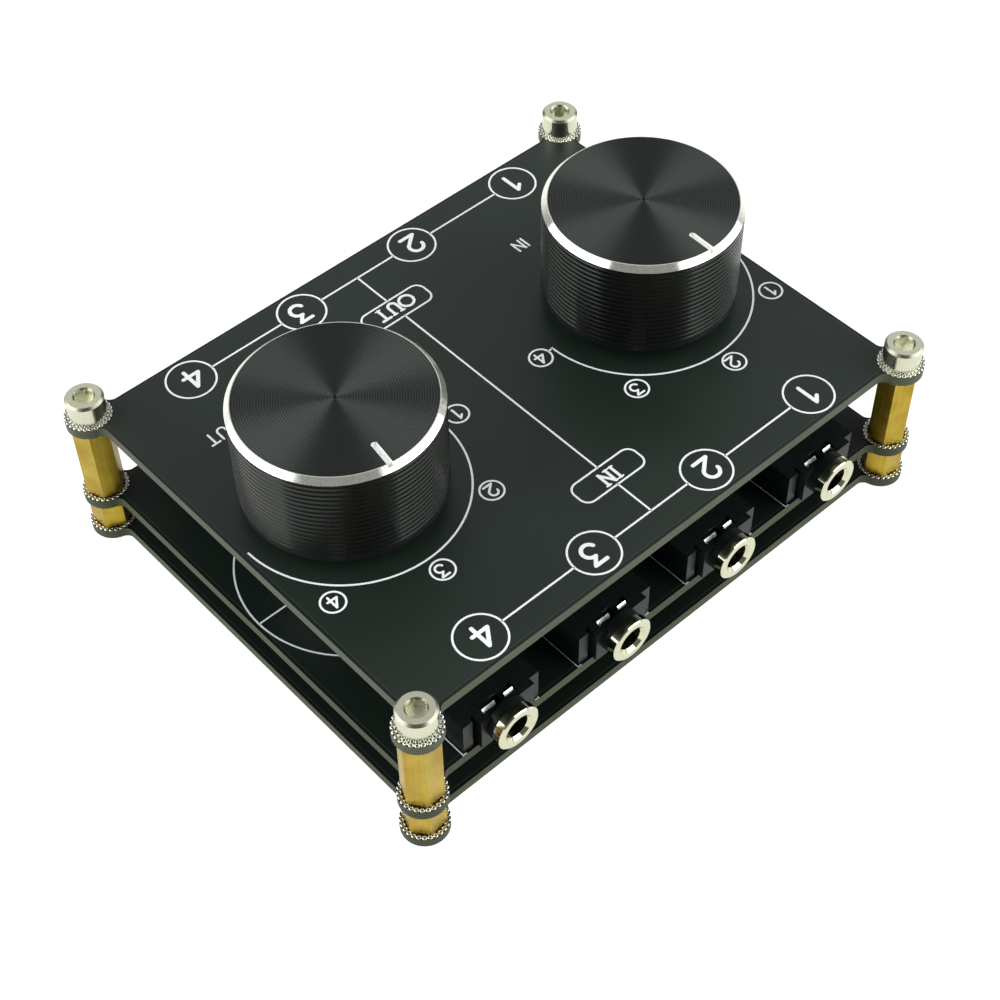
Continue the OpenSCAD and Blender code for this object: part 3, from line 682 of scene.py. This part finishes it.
# %% Jack finishes
jack_plastic = grained_finish("black_jack_moulding", (0.0045, 0.0075, 0.0075),
                              (0.008, 0.012, 0.011), 0.36, scale=1300.0, bump_mm=0.006,
                              Specular_IOR_Level=0.17)
jack_metal = grained_finish("nickel_nose", (0.56, 0.56, 0.40), (0.64, 0.64, 0.47), 0.11,
                            metallic=1.0, scale=1500.0, bump_mm=0.003)
jack_contact = grained_finish("tinned_spring", (0.80, 0.80, 0.78), (0.92, 0.92, 0.90), 0.34,
                              metallic=1.0, scale=1500.0)
for side in ("in", "out"):
    for number in range(1, 5):
        jack = f"{side}_jack_{number}"
        dress(jack + "_body", jack_plastic)
        dress(jack + "_nose", jack_metal)
        dress(jack + "_contacts", jack_contact)
print("eight jacks dressed")

# %% [markdown]
# White lines and figures are silk-screened onto the boards: ink with a real
# thickness of some hundredths of a millimetre. Each line is a flat ribbon along
# a row of points. A corner is mitred, so the ribbon keeps its width round a
# bend, and the ribbon has sides and a bottom, so it is a closed solid. The
# middle board's ink is painted a little greyer, as painted shade under the panel.

# %% Ribbons of ink
ink_t = 0.02
sharpest_mitre = 0.35


def ribbon(bm, points, width, z, closed=False):
    """Adds a flat ribbon along the points to the mesh. Millimetres."""
    points = [Vector((p[0], p[1])) for p in points]
    count = len(points)
    loops = []
    for i, here in enumerate(points):
        before = points[i - 1] if closed or i > 0 else None
        after = points[(i + 1) % count] if closed or i < count - 1 else None
        into = (here - before).normalized() if before is not None else (after - here).normalized()
        out = (after - here).normalized() if after is not None else into
        side = Vector((-into.y - out.y, into.x + out.x)).normalized()
        reach = width / 2 / max(sharpest_mitre, side.dot(Vector((-into.y, into.x))))
        loops.append([bm.verts.new(((here.x + s * reach * side.x) * MM,
                                    (here.y + s * reach * side.y) * MM, level * MM))
                      for s, level in ((-1, z), (1, z), (1, z + ink_t), (-1, z + ink_t))])
    for i in range(count if closed else count - 1):
        a, b = loops[i], loops[(i + 1) % count]
        for k in range(4):
            bm.faces.new((a[k], b[k], b[(k + 1) % 4], a[(k + 1) % 4]))
    if not closed:
        bm.faces.new(loops[0])
        bm.faces.new(loops[-1][::-1])


print("a ribbon is", ink_t, "mm thick")

# %% [markdown]
# Circles and arcs are rows of points for the ribbon to follow. A finished mesh
# becomes a piece with its finish, which rides on one of the bodies and moves
# with it.

# %% Arcs, and pieces that ride
def arc(cx, cy, r, start, end, steps=48):
    """Points along an arc, with angles in degrees from +X."""
    angles = [math.radians(start + (end - start) * i / steps) for i in range(steps + 1)]
    return [(cx + r * math.cos(a), cy + r * math.sin(a)) for a in angles]


def circle(cx, cy, r, steps=48):
    return arc(cx, cy, r, 0, 360, steps)[:-1]


def piece_from(name, bm, finish, body):
    """Turns a bmesh into a piece that rides on a body."""
    bmesh.ops.recalc_face_normals(bm, faces=bm.faces)
    mesh = bpy.data.meshes.new(name)
    bm.to_mesh(mesh)
    bm.free()
    made = bpy.data.objects.new(name, mesh)
    scene.collection.objects.link(made)
    mesh.materials.append(finish)
    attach(made, body)


ink_grain = {"scale": 2500.0, "bump_mm": 0.004}
ink = grained_finish("white_ink", (0.93, 0.96, 0.95), (0.97, 0.99, 0.98), 0.5, **ink_grain)
# The middle board's ink is painted greyer: painted shade under the panel.
shaded_ink = grained_finish("shaded_ink", (0.66, 0.76, 0.77), (0.78, 0.88, 0.89), 0.55, **ink_grain)
print("inks:", ink.name, shaded_ink.name)

# %% [markdown]
# Figures and letters are drawn as pen strokes with round ends, in a box one unit
# high between the middles of the highest and the lowest stroke. They are plain
# strokes of our own, with no type face, because the box needs only the numbers
# 1 to 4 and the words IN and OUT. The words in the frames get short cross
# strokes as well, given as start, end and height.

# %% Figures and letters
glyph_strokes = {
    "1": [[(0.27, 0.0), (0.27, 1.0)], [(0.0, 0.75), (0.27, 1.0)]],
    "2": [arc(0.34, 0.68, 0.32, 180, -36, 16), [(0.60, 0.50), (0.0, 0.0)],
          [(0.0, 0.0), (0.69, 0.0)]],
    "3": [[(0.07, 1.0), (0.65, 1.0)], [(0.65, 1.0), (0.33, 0.635)],
          arc(0.35, 0.32, 0.32, 96, -160, 18)],
    "4": [[(0.49, 0.0), (0.49, 1.0)], [(0.49, 1.0), (0.0, 0.32)], [(0.0, 0.32), (0.73, 0.32)]],
    "I": [[(0.0, 0.0), (0.0, 1.0)]],
    "N": [[(0.0, 0.0), (0.0, 1.0)], [(0.0, 1.0), (0.60, 0.0)], [(0.60, 0.0), (0.60, 1.0)]],
    "O": [arc(0.36, 0.5, 0.5, 90, 270, 14), arc(0.36, 0.5, 0.5, -90, 90, 14)],
    "U": [[(0.0, 1.0), (0.0, 0.3)] + arc(0.30, 0.3, 0.3, 180, 360, 12)
          + [(0.60, 0.3), (0.60, 1.0)]],
    "T": [[(0.0, 1.0), (0.66, 1.0)], [(0.33, 1.0), (0.33, 0.0)]],
}
glyph_width = {"1": 0.27, "2": 0.69, "3": 0.67, "4": 0.73, "I": 0.0, "N": 0.60, "O": 0.72,
               "U": 0.60, "T": 0.66}
serifs = {
    "I": ((-0.16, 0.16, 0), (-0.16, 0.16, 1)),
    "N": ((-0.16, 0.16, 0), (-0.16, 0.0, 1), (0.44, 0.76, 1)),
    "U": ((-0.16, 0.16, 1), (0.44, 0.76, 1)),
    "T": ((0.17, 0.49, 0),),
}
print("glyphs:", " ".join(glyph_strokes))

# %% [markdown]
# A stroke is an outline: along one side of its points, half round the last one,
# back along the other side and half round the first. Lifted by the ink's
# thickness it is a closed solid. The strokes of a figure cross each other, so
# each gets a small lift in thickness, and no two tops lie in one plane.

# %% Pen strokes
end_steps = 8
stroke_lift = 0.0015
least_step = 1e-4


def pen_stroke(bm, points, width, z, height):
    """Adds one stroke with round ends: an outline with a top, a bottom and sides. Millimetres."""
    points = [Vector(p) for p in points]
    points = [p for i, p in enumerate(points)
              if i == 0 or (p - points[i - 1]).length > least_step]
    left, right_side = [], []
    for i, here in enumerate(points):
        into = (here - points[i - 1]).normalized() if i else (points[1] - here).normalized()
        out = (points[i + 1] - here).normalized() if i < len(points) - 1 else into
        side = Vector((-into.y - out.y, into.x + out.x)).normalized()
        reach = width / 2 / side.dot(Vector((-into.y, into.x)))
        left.append(here + reach * side)
        right_side.append(here - reach * side)
    outline = []
    for run, middle in ((left, points[-1]), (right_side[::-1], points[0])):
        outline += run
        spoke = run[-1] - middle
        for k in range(1, end_steps):
            a = -math.pi * k / end_steps
            outline.append(middle + Vector((spoke.x * math.cos(a) - spoke.y * math.sin(a),
                                            spoke.x * math.sin(a) + spoke.y * math.cos(a))))
    low = [bm.verts.new((p.x * MM, p.y * MM, z * MM)) for p in outline]
    high = [bm.verts.new((p.x * MM, p.y * MM, (z + height) * MM)) for p in outline]
    bm.faces.new(low)
    bm.faces.new(high[::-1])
    for i in range(len(outline)):
        n = (i + 1) % len(outline)
        bm.faces.new((low[i], high[i], high[n], low[n]))


print("a round end has", end_steps, "steps")

# %% [markdown]
# A word is set glyph by glyph from its left end, with a gap between them. All
# strokes of the word are counted through, so each one is thicker than the last.

# %% Setting a word
def write(bm, text, cx, cy, height, stroke, z, gap=0.4, with_serifs=False):
    """Sets a word with its middle at cx, cy, reading along +X. Gap is a share of the height."""
    total = sum(glyph_width[c] for c in text) + gap * (len(text) - 1)
    at = cx - total * height / 2
    layer = 0
    for c in text:
        strokes = [(points, stroke) for points in glyph_strokes[c]]
        if with_serifs:
            strokes += [([(x0, y), (x1, y)], 0.6 * stroke) for x0, x1, y in serifs.get(c, ())]
        for points, width in strokes:
            placed = [(at + height * px, cy + height * (py - 0.5)) for px, py in points]
            pen_stroke(bm, placed, width, z, ink_t + stroke_lift * layer)
            layer += 1
        at += (glyph_width[c] + gap) * height


print("writing ready")

# %% [markdown]
# The panel's print is a wiring plan. Four large rings along each long edge
# stand for the jacks and are joined in a row. The digits don't sit quite in the
# middle of their rings, and each has its own small shift to the left or right.

# %% Rows
line_w = 0.28
row_y = 29.78
ring_x = (-30.0, -10.0, 10.55, 29.96)
ring_r = 3.51
digit_shift = (-0.2, -0.33, 0.25, -0.37)
digit_h = 3.4
digit_stroke = 0.56

for side, sign in (("in", 1), ("out", -1)):
    bm = bmesh.new()
    y = sign * row_y
    for number, x in enumerate(ring_x, 1):
        ribbon(bm, circle(x, y, ring_r), line_w, panel_z, closed=True)
        write(bm, str(number), x + digit_shift[number - 1], y, digit_h, digit_stroke, panel_z)
    for a, b in zip(ring_x, ring_x[1:]):
        ribbon(bm, [(a + ring_r, y), (b - ring_r, y)], line_w, panel_z)
    piece_from(f"{side}_row_print", bm, ink, "box")
print("rows printed")

# %% [markdown]
# A line runs from the middle of each row to a small frame with its word, and the
# frames are joined by a long line, the trunk. A frame is four quarter circles,
# and one ribbon goes through all of their points.

# %% Frames and trunk
trunk_x = 0.3
frame_x = (-5.4, 5.8)
frame_r = 1.4
in_frame = (19.78, 23.62)
out_frame = (-23.14, -19.22)
word_h = 2.2
word_stroke = 0.42


def frame_print(bm, x0, x1, y0, y1, r):
    """A rectangle with round corners."""
    corners = [(x1 - r, y1 - r, 0), (x0 + r, y1 - r, 90),
               (x0 + r, y0 + r, 180), (x1 - r, y0 + r, 270)]
    points = [p for cx, cy, a in corners for p in arc(cx, cy, r, a, a + 90, 8)]
    ribbon(bm, points, line_w, panel_z, closed=True)


bm = bmesh.new()
frame_print(bm, *frame_x, *in_frame, frame_r)
frame_print(bm, *frame_x, *out_frame, frame_r)
write(bm, "IN", 0.15, 21.9, word_h, word_stroke, panel_z, gap=0.42, with_serifs=True)
write(bm, "OUT", 0.36, -21.4, word_h, word_stroke, panel_z, gap=0.36, with_serifs=True)
ribbon(bm, [(trunk_x, row_y), (trunk_x, in_frame[1])], line_w, panel_z)
ribbon(bm, [(trunk_x, in_frame[0]), (trunk_x, out_frame[1])], line_w, panel_z)
ribbon(bm, [(trunk_x, out_frame[0]), (trunk_x, -row_y)], line_w, panel_z)
piece_from("trunk_print", bm, ink, "box")
print("frames and trunk printed")

# %% [markdown]
# Round each knob runs a half circle with four small rings, one for each position
# of the selector, and a tick joins the ring at the panel's middle to the end of
# the half circle. The word behind the knob says what it selects.

# %% Dials round the knobs
small_r = 1.65
small_digit_h = 1.95
small_stroke = 0.32
dial_word_h = 2.0
dial_word_stroke = 0.3
dials = {
    "in": {"centre": (-27.15, -0.5), "r": 16.64,
           "rings": ((-41.2, 12.52), (-27.16, 18.66), (-13.67, 13.16), (-8.06, -0.05)),
           "tick": ((-27.15 + 16.64, -0.3), (-8.06 - small_r, -0.3)),
           "word": ("IN", -21.6, -18.9), "shift": (-0.15, 0.25, 0.1, 0.1)},
    "out": {"centre": (26.47, -0.2), "r": 16.4,
            "rings": ((7.42, -0.07), (13.09, 13.21), (26.45, 18.73), (39.89, 13.31)),
            "tick": ((7.42 + small_r, -0.1), (26.47 - 16.4, -0.1)),
            "word": ("OUT", 32.6, -18.9), "shift": (-0.15, 0.0, 0.2, -0.1)},
}
for side, dial in dials.items():
    bm = bmesh.new()
    cx, cy = dial["centre"]
    ribbon(bm, arc(cx, cy, dial["r"], 0, 180, 96), line_w, panel_z)
    ribbon(bm, dial["tick"], line_w, panel_z)
    for number, (x, y) in enumerate(dial["rings"], 1):
        ribbon(bm, circle(x, y, small_r, 36), line_w, panel_z, closed=True)
        write(bm, str(number), x + dial["shift"][number - 1], y, small_digit_h, small_stroke,
              panel_z)
    word, x, y = dial["word"]
    write(bm, word, x, y, dial_word_h, dial_word_stroke, panel_z, gap=0.3)
    piece_from(f"{side}_dial_print", bm, ink, "box")
print("dials printed")

# %% [markdown]
# The middle board carries helping lines for assembly. Round each selector runs a
# circle, and a short centre line inside it points to the board's end.

# %% Selector outlines
selector_x = 27
selector_ring_r = 16.26
centre_line = (11.5, 16.2)
centre_line_y = 0.1
mark_w = 0.25
bm = bmesh.new()
for sign in (-1, 1):
    x = sign * selector_x
    ribbon(bm, circle(x, 0, selector_ring_r, 96), mark_w, deck_z, closed=True)
    ribbon(bm, [(x + sign * along, centre_line_y) for along in centre_line], mark_w, deck_z)
piece_from("selector_outline_print", bm, shaded_ink, "box")
print("selectors outlined")

# %% [markdown]
# A line runs along either side of each jack and turns in at the board's edge.
# The far row is the near row turned half a turn about the middle of the board.

# %% Jack outlines
jack_x = (-29.5, -9.5, 10.5, 30.5)
outline_w = 12.95
outline_y = (19.5, 33.9)
outline_return = 0.6
outline_line_w = 0.16
bm = bmesh.new()
for sign in (-1, 1):
    for x in jack_x:
        cx = x if sign > 0 else -x
        for hand in (-1, 1):
            side_x = cx + hand * outline_w / 2
            ribbon(bm, [(side_x, sign * outline_y[0]), (side_x, sign * outline_y[1]),
                        (side_x - hand * outline_return, sign * outline_y[1])],
                   outline_line_w, deck_z)
piece_from("jack_outline_print", bm, shaded_ink, "box")
print("jacks outlined")

# %% [markdown]
# Every corner hole is an earth point: the ear round it has a ring of small
# plated holes that join the copper of both faces. Each is a tin-bright dome
# round a small grey bore, a little proud of the resist. They are turned solids,
# made by spinning one small profile. The bore is a thin grey disc in the middle,
# painted shade where the open hole would be dark.

# %% Turned rings and discs
def turned_ring(bm, cx, cy, z, profile, steps=12):
    """Spins a closed profile of (radius, height) points round an upright axis."""
    rings = []
    for i in range(steps):
        a = 2 * math.pi * i / steps
        rings.append([bm.verts.new(((cx + r * math.cos(a)) * MM, (cy + r * math.sin(a)) * MM,
                                    (z + h) * MM)) for r, h in profile])
    for i in range(steps):
        a, b = rings[i], rings[(i + 1) % steps]
        for k in range(len(profile)):
            n = (k + 1) % len(profile)
            bm.faces.new((a[k], b[k], b[n], a[n])).smooth = True


def thin_disc(bm, cx, cy, z, r, h, steps=12):
    """A closed disc of thickness h."""
    rims = [[bm.verts.new(((cx + r * math.cos(2 * math.pi * i / steps)) * MM,
                           (cy + r * math.sin(2 * math.pi * i / steps)) * MM, level * MM))
             for i in range(steps)] for level in (z, z + h)]
    bm.faces.new(rims[0][::-1])
    bm.faces.new(rims[1])
    for i in range(steps):
        n = (i + 1) % steps
        bm.faces.new((rims[0][i], rims[0][n], rims[1][n], rims[1][i]))


print("turned shapes ready")

# %% [markdown]
# The holes lie in a ring round each corner screw, on both faces of all three
# boards. Hand tinning leaves some fuller than others, so their height varies a
# little, by a sine that never repeats round one ring.

# %% Plated holes on the ears
hole_ring_r = 2.965
holes_in_ring = 26
plated_r = 0.345
bore_r = 0.12
plate_t = 0.07
bore_floor_t = 0.008
dome = ((1.0, 0.0), (0.97, 0.35), (0.82, 0.85), (0.66, 1.0), (0.50, 0.75))
tin = grained_finish("plated_tin", (0.80, 0.79, 0.70), (0.95, 0.94, 0.87), 0.3, metallic=1.0,
                     scale=3000.0, bump_mm=0.004)
# The bore's grey disc is painted shade in place of the open hole.
bore_painted_shade = grained_finish("plated_bore_painted_shade", (0.16, 0.16, 0.13), (0.34, 0.34, 0.29), 0.4, metallic=0.8)


def plated_ear(plated, bores, sx, sy, face_z, outward):
    """The ring of holes on one face of one ear."""
    profile = [(bore_r, 0.0)] + [(plated_r * r, outward * plate_t * h) for r, h in dome]
    for i in range(holes_in_ring):
        a = 2 * math.pi * (i + 0.5) / holes_in_ring
        cx = sx * screw_x + hole_ring_r * math.cos(a)
        cy = sy * screw_y + hole_ring_r * math.sin(a)
        fullness = 1 + 0.25 * math.sin(7.3 * i + 2 * sx + sy)
        turned_ring(plated, cx, cy, face_z, [(r, fullness * h) for r, h in profile])
        thin_disc(bores, cx, cy, face_z, bore_r, outward * bore_floor_t)


for board_name in ("top_panel", "middle_board", "bottom_board"):
    plated, bores = bmesh.new(), bmesh.new()
    for face_z, outward in ((top_of(board_name), 1), (bottom_of(board_name), -1)):
        for sx in (-1, 1):
            for sy in (-1, 1):
                plated_ear(plated, bores, sx, sy, face_z, outward)
    piece_from(f"{board_name}_plated_holes", plated, tin, "box")
    piece_from(f"{board_name}_bores", bores, bore_painted_shade, "box")
print(holes_in_ring, "plated holes on each ear")

# %% [markdown]
# Under the middle board each pin is soldered to a round pad. Solder climbs the
# pin in a hollow cone, which is a short turned profile again.

# %% Solder cones
pin_r = 0.42
pad_r = 0.85
pad_t = 0.04
solder_h = 0.75
solder = grained_finish("bright_solder", (0.62, 0.62, 0.61), (0.78, 0.78, 0.77), 0.24,
                        metallic=1.0, bump_mm=0.02)
under_z = bottom_of("middle_board")


def solder_cone(bm, cx, cy):
    profile = [(pin_r * 0.6, 0), (pad_r, 0), (pad_r, -pad_t)]
    for t in (0.25, 0.5, 0.75, 1.0):
        climb = pin_r + (pad_r - pin_r) * (1 - t) ** 2
        profile.append((climb, -pad_t - (solder_h - pad_t) * t))
    profile.append((pin_r * 0.6, -solder_h))
    turned_ring(bm, cx, cy, under_z, profile, 20)


print("solder climbs", solder_h, "mm")

# %% [markdown]
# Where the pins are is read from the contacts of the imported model. A piece there
# can be many separate solids, so its mesh is sorted into islands first: start at
# any corner, follow the edges as far as they go, and begin again at a corner
# that hasn't been reached. The part of an island that comes out under the board
# is its pin, and gets a cone of solder.

# %% Solder joints
pin_out = 0.05


def loose_parts(name):
    """The corners of each separate solid of a piece, in millimetres."""
    bm = bmesh.new()
    bm.from_mesh(pieces[name].data)
    bmesh.ops.remove_doubles(bm, verts=bm.verts, dist=1e-7)
    seen, found = set(), []
    for start in bm.verts:
        if start.index in seen:
            continue
        seen.add(start.index)
        stack, island = [start], []
        while stack:
            v = stack.pop()
            island.append(v.co / MM)
            for edge in v.link_edges:
                other = edge.other_vert(v)
                if other.index not in seen:
                    seen.add(other.index)
                    stack.append(other)
        found.append(island)
    bm.free()
    return found


bm = bmesh.new()
joints_made = 0
for side in ("in", "out"):
    names = [f"{side}_contacts"] + [f"{side}_jack_{n}_contacts" for n in range(1, 5)]
    for name in names:
        for island in loose_parts(name):
            low = [p for p in island if p.z < under_z - pin_out]
            if not low:
                continue
            cx = (min(p.x for p in low) + max(p.x for p in low)) / 2
            cy = (min(p.y for p in low) + max(p.y for p in low)) / 2
            solder_cone(bm, cx, cy)
            joints_made += 1
piece_from("solder_joints", bm, solder, "box")
print(joints_made, "solder joints")
